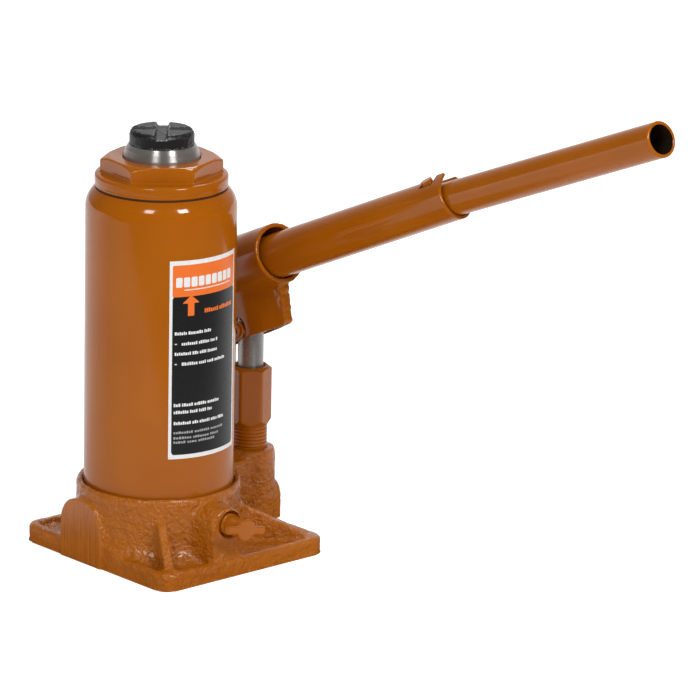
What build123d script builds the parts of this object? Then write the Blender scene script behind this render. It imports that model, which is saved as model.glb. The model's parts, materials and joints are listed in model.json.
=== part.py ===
from build123d import *
import os
from math import cos, radians, sin, sqrt

os.makedirs("parts", exist_ok=True)

# A six-tonne hydraulic bottle jack, in millimetres.
# Origin: the ram's axis at the underside of the base. +Z is up, the handle and the release
# valve point to -Y, and the hand pump stands on the +X side.

# ---------------------------------------------------------------- driving dimensions
CLOSED_HEIGHT = 216.0      # ground to the saddle's pads
SCREW_PITCH = 4.0
SCREW_TURNS = 16
SCREW_STROKE = SCREW_PITCH * SCREW_TURNS

# base casting
BASE_X0, BASE_X1 = -41.8, 63.0
BASE_HALF_Y = 55.6
BASE_CORNER_R = 7.5
RIM_TOP, RIM_WIDTH, PLATE_FLOOR = 9.3, 5.0, 6.5
RING_R, RING_TOP = 41.0, 39.0
CYLINDER_FLOOR, RESERVOIR_FLOOR = 28.0, 30.0
PORT_R = 1.8
BALL_R, BALL_CHAMBER_R = 2.8, 3.6

# reservoir, cylinder and top nut
RESERVOIR_R, RESERVOIR_WALL = 37.25, 2.5
RESERVOIR_BOTTOM, SHOULDER_Z, RESERVOIR_TOP = 31.2, 177.0, 186.8
SHOULDER_TOP_R, NECK_R = 32.8, 28.3
CYLINDER_R, CYLINDER_BORE = 24.0, 20.0
CYLINDER_BOTTOM, CYLINDER_TOP = 29.5, 184.0
NUT_FLANGE_R, NUT_Z0, NUT_HEX_Z, NUT_TOP = 32.8, 187.6, 194.4, 202.3
NUT_HEX_CORNER_R, NUT_HEX_TURN = 30.2, -39.0
WIPER_Z0, WIPER_Z1, WIPER_R = 188.0, 192.0, 22.0

# ram, piston and extension screw
RAM_R, RAM_TOP = 18.73, 208.5
RAM_TAPER_Z, RAM_SHOULDER_Z, RAM_SHOULDER_R, RAM_TOP_R = 203.2, 206.3, 17.8, 16.4
PISTON_Z0, PISTON_Z1 = 30.5, 46.0
SCREW_R, SCREW_BORE = 12.3, 12.6
STOP_BORE, STOP_Z0, STOP_Z1 = 13.6, 58.0, 61.0
STOP_SEAT_Z = STOP_Z1 + SCREW_STROKE + 0.2
SADDLE_R, SADDLE_Z0 = 15.9, 208.8
SADDLE_GROOVE, SADDLE_GROOVE_DEPTH, SADDLE_TURN = 6.8, 2.4, 48.0

# hand pump
PUMP_X, PUMP_Y = 67.0, 9.0
PUMP_BOSS_R, PUMP_BOSS_TOP, PUMP_SEAT_Z = 13.3, 39.6, 20.0
PUMP_THREAD_R, PUMP_BOTTOM, PUMP_TOP = 8.8, 21.2, 81.9
PUMP_HEX_Z, PUMP_HEX_AF = 52.6, 19.4
PLUNGER_R, PLUNGER_BOTTOM, PLUNGER_TOP = 6.5, 36.0, 109.0
RUNNING_GAP = 0.05
INLET_Z, INLET_SEAT = 5.5, 8.0
OUTLET_Z, OUTLET_SEAT, OUTLET_X = 16.0, 18.6, 8.0

# handle socket and its pivots; distances run back from the mouth and down from the bore's axis
MOUTH_Y, MOUTH_Z = -12.2, 144.6
HANDLE_RISE = 23.9
SOCKET_R, SOCKET_BORE, SOCKET_LENGTH = 15.2, 13.1, 72.0
CHEEK_DROP, CHEEK_OUT, CHEEK_GAP = 35.8, 8.8, 6.7
FLANGE_HALF, FLANGE_BACK, CHEEK_BACK, CREASE_R = 2.8, 8.0, 30.0, 5.0
PIN_DROP = 30.8
PLUNGER_PIN_BACK, PIVOT_SPACING = 36.9, 27.0
PLUNGER_PIN_R, PIVOT_PIN_R = 3.5, 3.0
ANCHOR_Z = 18.2
LINK_IN, LINK_OUT, LINK_HALF_WIDTH = 3.5, 6.3, 6.0

# handle tubes
HANDLE_SAG = 1.0
LOWER_R, LOWER_BORE, LOWER_INSIDE, LOWER_OUTSIDE = 11.3, 9.7, 58.0, 135.4
UPPER_R, UPPER_BORE, UPPER_INSIDE, UPPER_OUTSIDE = 8.66, 6.9, 45.0, 150.5
UPPER_DROOP = 1.6
MOUTH_TILT, MOUTH_TILT_HEADING, MOUTH_REACH = 14.0, 50.0, 2.6
SLOT_FROM, SLOT_TO = -6.0, 31.0
PEG_R, PEG_BACK, PEG_ANGLE, PEG_TOP_R = 3.0, 10.2, -22.0, 12.6
POCKET_FROM, POCKET_BACK, LIP_BACK = -43.0, 13.5, 3.8
LIP_FROM, LIP_BEND_R = -52.0, 21.0

# release valve
VALVE_X, VALVE_Z, VALVE_BOSS_Y, VALVE_BOSS_R = 1.8, 26.2, -53.0, 9.8
VALVE_BOSS_X, VALVE_BOSS_Z, VALVE_RECESS_R = 0.4, 24.8, 6.9
VALVE_STEM_R, VALVE_FACE_Y = 5.5, -65.4
WING_SPAN, WING_HEIGHT, WING_THICKNESS, WING_TURN = 24.4, 4.2, 3.0, 11.4
VALVE_SEAT_Y = -26.0

# label and filler plug
LABEL_Z0, LABEL_Z1, LABEL_HALF_ANGLE, LABEL_THICKNESS = 58.6, 158.8, 35.0, 0.2
FILLER_Z, FILLER_R = 150.0, 5.0


# ---------------------------------------------------------------- frames of the sloping parts
rise = radians(HANDLE_RISE)
FORWARD = Vector(0, -cos(rise), sin(rise))
DOWN = Vector(0, -sin(rise), -cos(rise))
MOUTH = Vector(PUMP_X, MOUTH_Y, MOUTH_Z)


def socket_point(back, drop):
    return MOUTH - FORWARD * back + DOWN * drop


PLUNGER_PIN = Vector(PUMP_X, PUMP_Y, socket_point(PLUNGER_PIN_BACK, PIN_DROP).Z)
FULCRUM = socket_point(PLUNGER_PIN_BACK + PIVOT_SPACING, PIN_DROP)
ANCHOR = Vector(PUMP_X, FULCRUM.Y, ANCHOR_Z)


# ---------------------------------------------------------------- small helpers
def ring(outer, inner, z0, z1, x=0.0, y=0.0):
    tube = Circle(outer) - Circle(inner) if inner else Circle(outer)
    return extrude(Pos(x, y, z0) * tube, amount=z1 - z0)


def turned(points):
    """A solid of revolution about Z from (radius, height) points."""
    outline = make_face(Polyline(*[(r, 0, z) for r, z in points], close=True))
    return revolve(outline, Axis.Z)


def block(x0, x1, y0, y1, z0, z1):
    return Pos((x0 + x1) / 2, (y0 + y1) / 2, (z0 + z1) / 2) * Box(x1 - x0, y1 - y0, z1 - z0)


def rod_x(radius, x0, x1, y, z):
    return Pos((x0 + x1) / 2, y, z) * Rot(0, 90, 0) * Cylinder(radius, x1 - x0)


def rod_y(radius, y0, y1, x, z):
    return Pos(x, (y0 + y1) / 2, z) * Rot(90, 0, 0) * Cylinder(radius, y1 - y0)


def wedge(reach, start, end):
    """A pie slice in plan, between two headings in degrees."""
    middle = radians((start + end) / 2)
    a, b = radians(start), radians(end)
    return make_face(Polyline((0, 0), (reach * cos(a), reach * sin(a)), (1.4 * reach * cos(middle),
                     1.4 * reach * sin(middle)), (reach * cos(b), reach * sin(b)), close=True))


def coil(radius, wire, z0, z1, turns, x, y):
    height = z1 - z0 - 2 * wire
    path = Helix(height / turns, height, radius)
    section = Plane(path @ 0, z_dir=path % 0) * Circle(wire)
    return Pos(x, y, z0 + wire) * sweep(section, path=path, is_frenet=True)


def mirror_pair(solid):
    """The solid and its mirror image in the pump's own X plane."""
    return Part(children=[solid, mirror(solid, Plane.YZ.offset(PUMP_X))])


# ---------------------------------------------------------------- base casting
def plate():
    mid_x = (BASE_X0 + BASE_X1) / 2
    width = BASE_X1 - BASE_X0
    outline = RectangleRounded(width, 2 * BASE_HALF_Y, BASE_CORNER_R)
    slab = extrude(Pos(mid_x, 0, 0) * outline, RIM_TOP)
    slab = fillet(slab.faces().sort_by(Axis.Z)[-1].edges(), 2.0)
    well = RectangleRounded(width - 2 * RIM_WIDTH, 2 * (BASE_HALF_Y - RIM_WIDTH), BASE_CORNER_R - 3)
    return slab - extrude(Pos(mid_x, 0, PLATE_FLOOR) * well, RIM_TOP)


def bottle_ring():
    flare_r = 48.5
    outline = Polyline((0, 0, 1), (flare_r, 0, 1), (flare_r, 0, PLATE_FLOOR))
    flare = ThreePointArc((flare_r, 0, PLATE_FLOOR), (RING_R + 2.4, 0, 11.5), (RING_R, 0, 21))
    inner = Polyline((RING_R, 0, 21), (RING_R, 0, RING_TOP - 1.6), (RING_R - 1.6, 0, RING_TOP),
                     (RESERVOIR_R + 1.6, 0, RING_TOP), (RESERVOIR_R + 0.1, 0, RING_TOP - 2),
                     (RESERVOIR_R + 0.1, 0, RESERVOIR_FLOOR), (0, 0, RESERVOIR_FLOOR), (0, 0, 1))
    wheel = revolve(make_face([outline, flare, inner]), Axis.Z)
    return wheel & block(BASE_X0, 80, -BASE_HALF_Y, BASE_HALF_Y, 0, RING_TOP + 1)


def arch(width, top, bottom, radius):
    """An arch-topped outline, standing on its straight sides."""
    outline = Rectangle(width, top - bottom + radius)
    outline = fillet(outline.vertices(), radius)
    return Pos(0, (top + bottom - radius) / 2) * outline & Pos(0, (top + bottom) / 2) * Rectangle(
        width, top - bottom)


def side_boss():
    """The flat machined boss on the -X side."""
    face = Plane(origin=(BASE_X0 - 1.0, 9.2, 0), x_dir=(0, 1, 0), z_dir=(1, 0, 0))
    return extrude(face * arch(31, 32.4, 0, 13.5), amount=16)


def valve_section(y, centre_x, half_foot, half_width, centre_z, foot_z):
    face = Plane(origin=(centre_x, y, 0), x_dir=(1, 0, 0), z_dir=(0, -1, 0))
    legs = Polyline((-half_width, centre_z), (-half_foot, foot_z), (half_foot, foot_z), (half_width, centre_z))
    crown = ThreePointArc((half_width, centre_z), (0, centre_z + half_width), (-half_width, centre_z))
    return face * make_face([legs, crown])


def valve_boss():
    nose = valve_section(VALVE_BOSS_Y, VALVE_BOSS_X, 8.0, VALVE_BOSS_R, VALVE_BOSS_Z, 3)
    root = valve_section(-34.0, 0, 17, 13.5, VALVE_BOSS_Z - 1.0, 3)
    return loft([nose, root])


def gusset(start, end, top, foot, half_width):
    """A rib from the ring down to the plate, along a line in plan."""
    run = Vector(*end) - Vector(*start)
    wall = Plane(origin=(start[0], start[1], 0), x_dir=run, z_dir=run.cross(Vector(0, 0, 1)))
    outline = Polyline((-8, 2), (-8, top), (0, top), (run.length, foot), (run.length, 2), close=True)
    return extrude(wall * make_face(outline), amount=half_width, both=True)


def pump_boss():
    boss = ring(PUMP_BOSS_R, 0, 0.6, PUMP_BOSS_TOP, PUMP_X, PUMP_Y)
    boss = chamfer(boss.faces().sort_by(Axis.Z)[-1].edges(), 0.9)
    boss += block(30, PUMP_X, PUMP_Y - 11, PUMP_Y + 11, 2, PUMP_BOSS_TOP - 3)
    end = Plane(origin=(PUMP_X, PUMP_Y, 0), x_dir=(0, 1, 0), z_dir=(1, 0, 0))
    return boss + extrude(end * arch(20, 21.5, 0.6, 8), amount=14)


def link_lug():
    """The ear behind the pump that anchors the link."""
    foot = block(56, 76, PUMP_Y + 8, ANCHOR.Y + 9, 0.6, 10.5)
    side = Plane(origin=(PUMP_X, ANCHOR.Y, ANCHOR.Z), x_dir=(0, 1, 0), z_dir=(1, 0, 0))
    ear = Circle(LINK_HALF_WIDTH) + Pos(0, -6) * Rectangle(2 * LINK_HALF_WIDTH, 12)
    return foot + extrude(side * ear, amount=LINK_IN - 0.2, both=True)


def base_casting():
    body = plate() + bottle_ring() + side_boss() + valve_boss() + pump_boss() + link_lug()
    body += gusset((-26.4, -34.6), (-34.9, -51.2), 28, 9, 2.7)
    body += gusset((29.0, -25.6), (57.0, -50.3), 26.6, 9.2, 2.2)
    body += gusset((30.0, 32.0), (50.0, 50.6), 27, 9, 3.0)
    body -= ring(CYLINDER_R + 0.1, 0, CYLINDER_FLOOR, RING_TOP)
    body -= turned([
        (0, RESERVOIR_FLOOR), (RESERVOIR_R + 0.1, RESERVOIR_FLOOR), (RESERVOIR_R + 0.1, RING_TOP - 2),
        (RESERVOIR_R + 1.6, RING_TOP), (RESERVOIR_R + 1.6, RING_TOP + 1), (0, RING_TOP + 1)])
    # pump bore, its valve chambers and drilled oil ways
    body -= ring(PUMP_THREAD_R + 0.1, 0, PUMP_SEAT_Z, RING_TOP + 1, PUMP_X, PUMP_Y)
    body -= ring(BALL_CHAMBER_R, 0, INLET_SEAT, PUMP_SEAT_Z, PUMP_X, PUMP_Y)
    body -= ring(PORT_R, 0, INLET_Z, INLET_SEAT, PUMP_X, PUMP_Y)
    body -= ring(BALL_CHAMBER_R, 0, OUTLET_SEAT, CYLINDER_FLOOR, OUTLET_X, PUMP_Y)
    body -= ring(PORT_R, 0, OUTLET_Z, OUTLET_SEAT, OUTLET_X, PUMP_Y)
    for port_z, port_x in ((INLET_Z, 30.0), (OUTLET_Z, OUTLET_X)):
        body -= rod_x(PORT_R, port_x, PUMP_X + 14, PUMP_Y, port_z)
        body -= rod_x(3.2, PUMP_X + 8, PUMP_X + 14.5, PUMP_Y, port_z)
    body -= ring(PORT_R, 0, INLET_Z, RESERVOIR_FLOOR, 30.0, PUMP_Y)
    # release valve bore, its ball chamber, and the ways to the cylinder and the reservoir
    body -= rod_y(VALVE_RECESS_R, VALVE_BOSS_Y - 1, VALVE_BOSS_Y + 2.4, VALVE_X, VALVE_Z)
    body -= rod_y(VALVE_STEM_R + 0.1, VALVE_BOSS_Y - 1, -43.0, VALVE_X, VALVE_Z)
    body -= rod_y(BALL_CHAMBER_R, -43.5, VALVE_SEAT_Y, VALVE_X, VALVE_Z)
    body -= rod_y(PORT_R, VALVE_SEAT_Y - 1, -12.0, VALVE_X, VALVE_Z)
    body -= ring(PORT_R, 0, VALVE_Z, CYLINDER_FLOOR, VALVE_X, -13.8)
    body -= ring(PORT_R, 0, VALVE_Z, RESERVOIR_FLOOR, VALVE_X, -30.0)
    # overload valve, entered from below
    body -= ring(4.0, 0, 0, 18, -14, -6)
    body -= ring(1.2, 0, 17, CYLINDER_FLOOR, -14, -6)
    # link anchor
    body -= rod_x(PIVOT_PIN_R, 50, 90, ANCHOR.Y, ANCHOR.Z) & block(60, 80, 0, 60, 12, 30)
    return body


# ---------------------------------------------------------------- bottle
def reservoir():
    outer = [Line((RESERVOIR_R, 0, RESERVOIR_BOTTOM), (RESERVOIR_R, 0, SHOULDER_Z)),
             TangentArc((RESERVOIR_R, 0, SHOULDER_Z), (SHOULDER_TOP_R, 0, RESERVOIR_TOP), tangent=(0, 0, 1))]
    inner_r = RESERVOIR_R - RESERVOIR_WALL
    inner_top = RESERVOIR_TOP - 3.4
    rest = Polyline((SHOULDER_TOP_R, 0, RESERVOIR_TOP), (NECK_R, 0, RESERVOIR_TOP), (NECK_R, 0, inner_top),
                    (inner_r - 3.2, 0, inner_top), (inner_r, 0, SHOULDER_Z - 1),
                    (inner_r, 0, RESERVOIR_BOTTOM), (RESERVOIR_R, 0, RESERVOIR_BOTTOM))
    shell = revolve(make_face(outer + [rest]), Axis.Z)
    return shell - rod_y(FILLER_R, 20, 45, 0, FILLER_Z)


def label():
    inner = RESERVOIR_R + 0.03
    skin = ring(inner + LABEL_THICKNESS, inner, LABEL_Z0, LABEL_Z1)
    slice_shape = wedge(60, -90 - LABEL_HALF_ANGLE, -90 + LABEL_HALF_ANGLE)
    return skin & extrude(Pos(0, 0, LABEL_Z0) * slice_shape, amount=LABEL_Z1 - LABEL_Z0)


def filler_plug():
    outer = RESERVOIR_R
    stem = rod_y(FILLER_R - 0.05, outer - 5, outer, 0, FILLER_Z)
    return stem + rod_y(FILLER_R + 2.2, outer + 0.2, outer + 2.2, 0, FILLER_Z) + rod_y(
        FILLER_R - 0.05, outer - 0.5, outer + 0.5, 0, FILLER_Z)


def top_nut():
    lip_r = NUT_FLANGE_R
    body = turned([
        (RAM_R + 0.1, 184.5), (CYLINDER_R + 0.1, 184.5), (CYLINDER_R + 0.1, 168.0), (NECK_R - 0.2, 168.0),
        (NECK_R - 0.2, NUT_Z0), (lip_r - 0.5, NUT_Z0), (lip_r, NUT_Z0 + 0.5), (lip_r, NUT_Z0 + 1.3),
        (lip_r - 0.5, NUT_Z0 + 1.6), (lip_r - 0.5, NUT_Z0 + 1.9), (lip_r, NUT_Z0 + 2.3),
        (lip_r, NUT_HEX_Z - 1.3), (lip_r - 0.5, NUT_HEX_Z - 0.6), (lip_r - 1.6, NUT_HEX_Z - 0.2),
        (26.0, NUT_HEX_Z), (WIPER_R, NUT_HEX_Z), (WIPER_R, WIPER_Z1), (WIPER_R, WIPER_Z0),
        (RAM_R + 0.1, WIPER_Z0)])
    hexagon = Rot(0, 0, NUT_HEX_TURN) * RegularPolygon(NUT_HEX_CORNER_R, 6)
    prism = extrude(Pos(0, 0, NUT_HEX_Z) * hexagon, amount=NUT_TOP - NUT_HEX_Z)
    prism &= turned([(0, NUT_HEX_Z), (34, NUT_HEX_Z), (34, 198.4), (26.3, NUT_TOP), (0, NUT_TOP)])
    body += prism
    body -= ring(RAM_R + 0.1, 0, WIPER_Z1, NUT_TOP + 1)
    body -= ring(WIPER_R, 0, WIPER_Z0, WIPER_Z1)
    lead_in = [(0, NUT_TOP + 0.1), (RAM_R + 0.9, NUT_TOP + 0.1), (RAM_R + 0.1, 201.4), (0, 201.4)]
    return body - turned(lead_in)


# ---------------------------------------------------------------- ram and extension screw
def ram():
    return turned([
        (STOP_BORE, PISTON_Z1), (RAM_R - 0.5, PISTON_Z1), (RAM_R, PISTON_Z1 + 0.5),
        (RAM_R, RAM_TAPER_Z), (RAM_SHOULDER_R, RAM_SHOULDER_Z), (RAM_TOP_R, RAM_TOP), (SCREW_BORE, RAM_TOP),
        (SCREW_BORE, STOP_SEAT_Z), (STOP_BORE, STOP_SEAT_Z)])


def ram_piston():
    radius = CYLINDER_BORE - 0.07
    return turned([
        (0, PISTON_Z0), (radius - 1, PISTON_Z0), (radius, PISTON_Z0 + 1), (radius, 34), (15.5, 34),
        (15.5, 40), (radius, 40), (radius, PISTON_Z1 - 0.5), (radius - 0.5, PISTON_Z1),
        (STOP_BORE - 0.1, PISTON_Z1), (STOP_BORE - 0.1, 52), (0, 52)])


def extension_screw():
    crest, root = SCREW_R, SCREW_R - 1.3
    flank, land = 0.6, SCREW_PITCH / 2 - 0.6
    points = [(0, 56), (SCREW_R - 1, 56), (SCREW_R - 1, STOP_Z0), (10, STOP_Z0), (10, STOP_Z1),
              (crest, STOP_Z1)]
    grooves = int((RAM_TOP - 6 - STOP_Z1) / SCREW_PITCH)
    for turn in range(grooves):
        z = STOP_Z1 + 3 + turn * SCREW_PITCH
        points += [(crest, z), (root, z + flank), (root, z + flank + land), (crest, z + 2 * flank + land)]
    points += [(crest, SADDLE_Z0), (0, SADDLE_Z0)]
    return turned(points) - ring(6.05, 0, 199, SADDLE_Z0 + 1)


def saddle():
    top = CLOSED_HEIGHT
    disc = turned([
        (0, SADDLE_Z0), (SADDLE_R - 0.2, SADDLE_Z0), (SADDLE_R, SADDLE_Z0 + 0.2), (SADDLE_R, top - 2.2),
        (SADDLE_R - 0.5, top - 1.1), (SADDLE_R - 1.3, top - 0.3), (SADDLE_R - 2.3, top), (0, top)])
    mouth, floor = SADDLE_GROOVE / 2, SADDLE_GROOVE / 2 - 1.1
    cut = make_face(Polyline((-mouth - 0.4, 1), (-mouth, 0), (-floor, -SADDLE_GROOVE_DEPTH),
                             (floor, -SADDLE_GROOVE_DEPTH), (mouth, 0), (mouth + 0.4, 1), close=True))
    for heading in (radians(SADDLE_TURN), radians(SADDLE_TURN + 90)):
        along = (cos(heading), sin(heading), 0)
        across = Plane(origin=(0, 0, top), x_dir=(-sin(heading), cos(heading), 0), z_dir=along)
        disc -= extrude(across * cut, amount=20, both=True)
    return disc + ring(6.0, 0, 199.5, SADDLE_Z0)


# ---------------------------------------------------------------- hand pump
def pump_cylinder():
    pitch, depth = 1.8, 0.45
    points = [(PLUNGER_R + RUNNING_GAP, PUMP_BOTTOM), (PUMP_THREAD_R - 0.8, PUMP_BOTTOM),
              (PUMP_THREAD_R, PUMP_BOTTOM + 0.8)]
    for groove in range(6):
        z = PUMP_BOSS_TOP + 0.5 + groove * pitch
        points += [(PUMP_THREAD_R, z), (PUMP_THREAD_R - depth, z + 0.5), (PUMP_THREAD_R, z + 1.0)]
    points += [(PUMP_THREAD_R, PUMP_HEX_Z - 2), (PUMP_THREAD_R + 0.6, PUMP_HEX_Z - 0.6),
               (14, PUMP_HEX_Z + 7), (14, PUMP_TOP - 3.6), (PUMP_HEX_AF / 2, PUMP_TOP - 0.9),
               (PUMP_HEX_AF / 2 - 1.0, PUMP_TOP), (PLUNGER_R + 1.4, PUMP_TOP),
               (PLUNGER_R + RUNNING_GAP, PUMP_TOP - 2.0)]
    envelope = turned(points)
    hexagon = Rot(0, 0, NUT_HEX_TURN) * RegularPolygon(PUMP_HEX_AF / sqrt(3), 6)
    hexagon = fillet(hexagon.vertices(), 2.6)
    below = ring(30, 0, 0, PUMP_HEX_Z - 1)
    wrench = extrude(Pos(0, 0, PUMP_HEX_Z - 1) * hexagon, amount=PUMP_TOP - PUMP_HEX_Z + 2)
    return Pos(PUMP_X, PUMP_Y, 0) * (envelope & (below + wrench))


def plunger():
    body = turned([(0, PLUNGER_BOTTOM), (PLUNGER_R - 0.8, PLUNGER_BOTTOM), (PLUNGER_R, PLUNGER_BOTTOM + 0.8),
                   (PLUNGER_R, 38.5), (4.2, 38.5), (4.2, 42.5), (PLUNGER_R, 42.5),
                   (PLUNGER_R, PLUNGER_TOP - 3), (PLUNGER_R - 1.2, PLUNGER_TOP - 1),
                   (PLUNGER_R - 3, PLUNGER_TOP), (0, PLUNGER_TOP)])
    body = Pos(PUMP_X, PUMP_Y, 0) * body
    return body - rod_x(PLUNGER_PIN_R, PUMP_X - 10, PUMP_X + 10, PLUNGER_PIN.Y, PLUNGER_PIN.Z)


def hollow_pin(radius, half_length, y, z):
    """A pin with drilled, peened ends."""
    pin = rod_x(radius, PUMP_X - half_length, PUMP_X + half_length, y, z)
    for side in (-1, 1):
        end = PUMP_X + side * half_length
        pin -= rod_x(radius - 1.3, end - 1.6, end + 1.6, y, z)
    return pin


def pin_clips(radius, inside, y, z):
    clip = rod_x(radius + 1.4, PUMP_X + inside, PUMP_X + inside + 0.9, y, z)
    clip -= rod_x(radius, PUMP_X, PUMP_X + 20, y, z)
    clip -= block(PUMP_X, PUMP_X + 20, y - 1.2, y + 1.2, z - 10, z)
    return mirror_pair(clip)


# ---------------------------------------------------------------- socket, link and handle
def plan_outline(front_half, back_half, finish):
    """A face in the plane of the bore's axis and X: narrow in front, widening in a smooth curve."""
    a, b, reach = FLANGE_BACK, CHEEK_BACK, (CHEEK_BACK - FLANGE_BACK) / 3
    edges = []
    for side in (-1, 1):
        front, back = side * front_half, side * back_half
        edges += [Line((front, 0), (front, -a)),
                  Bezier((front, -a), (front, -a - reach), (back, -b + reach), (back, -b)),
                  Line((back, -b), (back, -finish))]
    edges += [Line((-front_half, 0), (front_half, 0)), Line((-back_half, -finish), (back_half, -finish))]
    sheet = Plane(origin=MOUTH + DOWN * 4, x_dir=(1, 0, 0), z_dir=DOWN)
    return sheet * make_face(edges)


def is_crease(edge):
    """Whether an edge runs along the line where a cheek leaves the bore's tube."""
    drop = (edge.center() - MOUTH).dot(DOWN)
    aside = abs(edge.center().X - PUMP_X)
    return 11 < drop < SOCKET_R and 2 < aside < CHEEK_OUT + 1 and edge.length > 3


def handle_socket():
    across = Plane(origin=MOUTH, x_dir=(1, 0, 0), z_dir=-FORWARD)
    end = SOCKET_LENGTH
    tube = extrude(across * Circle(SOCKET_R), amount=end)
    cheeks = extrude(plan_outline(FLANGE_HALF, CHEEK_OUT, end), amount=CHEEK_DROP)
    side = Plane(origin=MOUTH, x_dir=-FORWARD, z_dir=(-1, 0, 0))
    corners = [(0.4, 4), (7.2, CHEEK_DROP - 0.8), (end, CHEEK_DROP + 1.0), (end, 4)]
    profile = make_face(Polyline(*corners, close=True))
    profile = fillet(profile.vertices().sort_by(Axis.Y)[-2:], 3.0)
    cheeks &= extrude(side * profile, amount=40, both=True)
    shell = tube + cheeks
    shell = fillet(shell.edges().filter_by(is_crease), CREASE_R)
    front = FLANGE_BACK - 1
    between = Plane(origin=MOUTH + DOWN * 4, x_dir=(1, 0, 0), z_dir=DOWN)
    gap = make_face(Polyline(
        (0.05, -front), (CHEEK_GAP, -CHEEK_BACK + 2), (CHEEK_GAP, -end - 1), (-CHEEK_GAP, -end - 1),
        (-CHEEK_GAP, -CHEEK_BACK + 2), (-0.05, -front), close=True))
    shell -= extrude(between * gap, amount=CHEEK_DROP + 4)
    shell -= extrude(across * Circle(SOCKET_BORE), amount=end)
    window = RectangleRounded(9.4, 9.3, PLUNGER_PIN_R + 0.2)
    centre = socket_point(PLUNGER_PIN_BACK - 0.95, PIN_DROP - 0.8)
    hole = Plane(origin=centre, x_dir=FORWARD, z_dir=(1, 0, 0))
    shell -= extrude(hole * window, amount=30, both=True)
    return shell - rod_x(PIVOT_PIN_R, PUMP_X - 20, PUMP_X + 20, FULCRUM.Y, FULCRUM.Z)


def link_plates():
    length = FULCRUM.Z - ANCHOR.Z
    middle = (PUMP_X + LINK_IN, ANCHOR.Y, (FULCRUM.Z + ANCHOR.Z) / 2)
    side = Plane(origin=middle, x_dir=(0, 0, 1), z_dir=(1, 0, 0))
    bar = SlotCenterToCenter(length, 2 * LINK_HALF_WIDTH)
    for end in (-length / 2, length / 2):
        bar -= Pos(end, 0) * Circle(PIVOT_PIN_R + RUNNING_GAP)
    return mirror_pair(extrude(side * bar, amount=LINK_OUT - LINK_IN))


LOWER_MOUTH = MOUTH + DOWN * HANDLE_SAG + FORWARD * LOWER_OUTSIDE
droop_rise = radians(HANDLE_RISE - UPPER_DROOP)
UPPER_FORWARD = Vector(0, -cos(droop_rise), sin(droop_rise))
UPPER_CROSSING = LOWER_MOUTH - FORWARD * UPPER_INSIDE / 2


def sector(outer, inner, start, end):
    """A slice of a ring between two angles from the tube's top, positive towards +X."""
    return (Circle(outer) - Circle(inner)) & wedge(2 * outer, 90 - end, 90 - start)


def bent_lip(length):
    """The narrow hook between the pocket and the mouth, sprung a little outwards."""
    middle = (LOWER_R + LOWER_BORE) / 2
    half = (LOWER_R - LOWER_BORE) / 2 - 0.1
    root = radians(90 - LIP_FROM)
    swing = (SLOT_FROM - LIP_FROM) * middle / LIP_BEND_R
    shift = middle - LIP_BEND_R
    hook = sector(LIP_BEND_R + half, LIP_BEND_R - half, LIP_FROM - 4, LIP_FROM + swing)
    return extrude(Pos(shift * cos(root), shift * sin(root)) * hook, amount=length)


def handle_lower_tube():
    start = MOUTH + DOWN * HANDLE_SAG - FORWARD * LOWER_INSIDE
    reach = LOWER_INSIDE + LOWER_OUTSIDE + MOUTH_REACH
    across = Plane(origin=start, x_dir=(1, 0, 0), z_dir=FORWARD)
    pipe = extrude(across * Circle(LOWER_R), amount=reach + 5)
    tip = Plane(origin=LOWER_MOUTH, x_dir=(1, 0, 0), z_dir=FORWARD)
    heading = radians(90 - MOUTH_TILT_HEADING)
    lean = Rot(-sin(heading) * MOUTH_TILT, cos(heading) * MOUTH_TILT, 0)
    beyond = tip * Pos(0, 0, MOUTH_REACH) * lean * Pos(0, 0, 15) * Box(60, 60, 30)
    pipe -= beyond
    pipe = fillet(pipe.edges().sort_by(Axis.Y)[0], 0.7)
    pipe -= extrude(across * Circle(LOWER_BORE), amount=reach + 5)
    slot = extrude(sector(14, 8, SLOT_FROM, SLOT_TO), amount=POCKET_BACK + 8)
    pocket = extrude(sector(14, 8, POCKET_FROM, SLOT_TO), amount=POCKET_BACK - LIP_BACK)
    notch = extrude(sector(14, 8, LIP_FROM, SLOT_TO), amount=LIP_BACK + 8)
    pipe -= tip * Pos(0, 0, -POCKET_BACK) * slot
    pipe -= tip * Pos(0, 0, -POCKET_BACK) * pocket
    pipe -= tip * Pos(0, 0, -LIP_BACK) * notch
    return pipe + (tip * Pos(0, 0, -LIP_BACK) * bent_lip(LIP_BACK + 8) - beyond)


def handle_upper_tube():
    start = UPPER_CROSSING - UPPER_FORWARD * UPPER_INSIDE / 2
    across = Plane(origin=start, x_dir=(1, 0, 0), z_dir=UPPER_FORWARD)
    pipe = extrude(across * (Circle(UPPER_R) - Circle(UPPER_BORE)), amount=UPPER_INSIDE + UPPER_OUTSIDE)
    return fillet(pipe.edges().filter_by(GeomType.CIRCLE).sort_by(Axis.Z)[-2:], 0.75)


def handle_peg():
    seat = UPPER_CROSSING + UPPER_FORWARD * (UPPER_INSIDE / 2 - PEG_BACK)
    across = Plane(origin=seat, x_dir=(1, 0, 0), z_dir=UPPER_FORWARD)
    peg = Pos(0, (UPPER_R + PEG_TOP_R) / 2 + 0.2, 0) * Rot(90, 0, 0) * Cylinder(PEG_R, PEG_TOP_R - UPPER_R)
    return across * Rot(0, 0, -PEG_ANGLE) * peg


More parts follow.
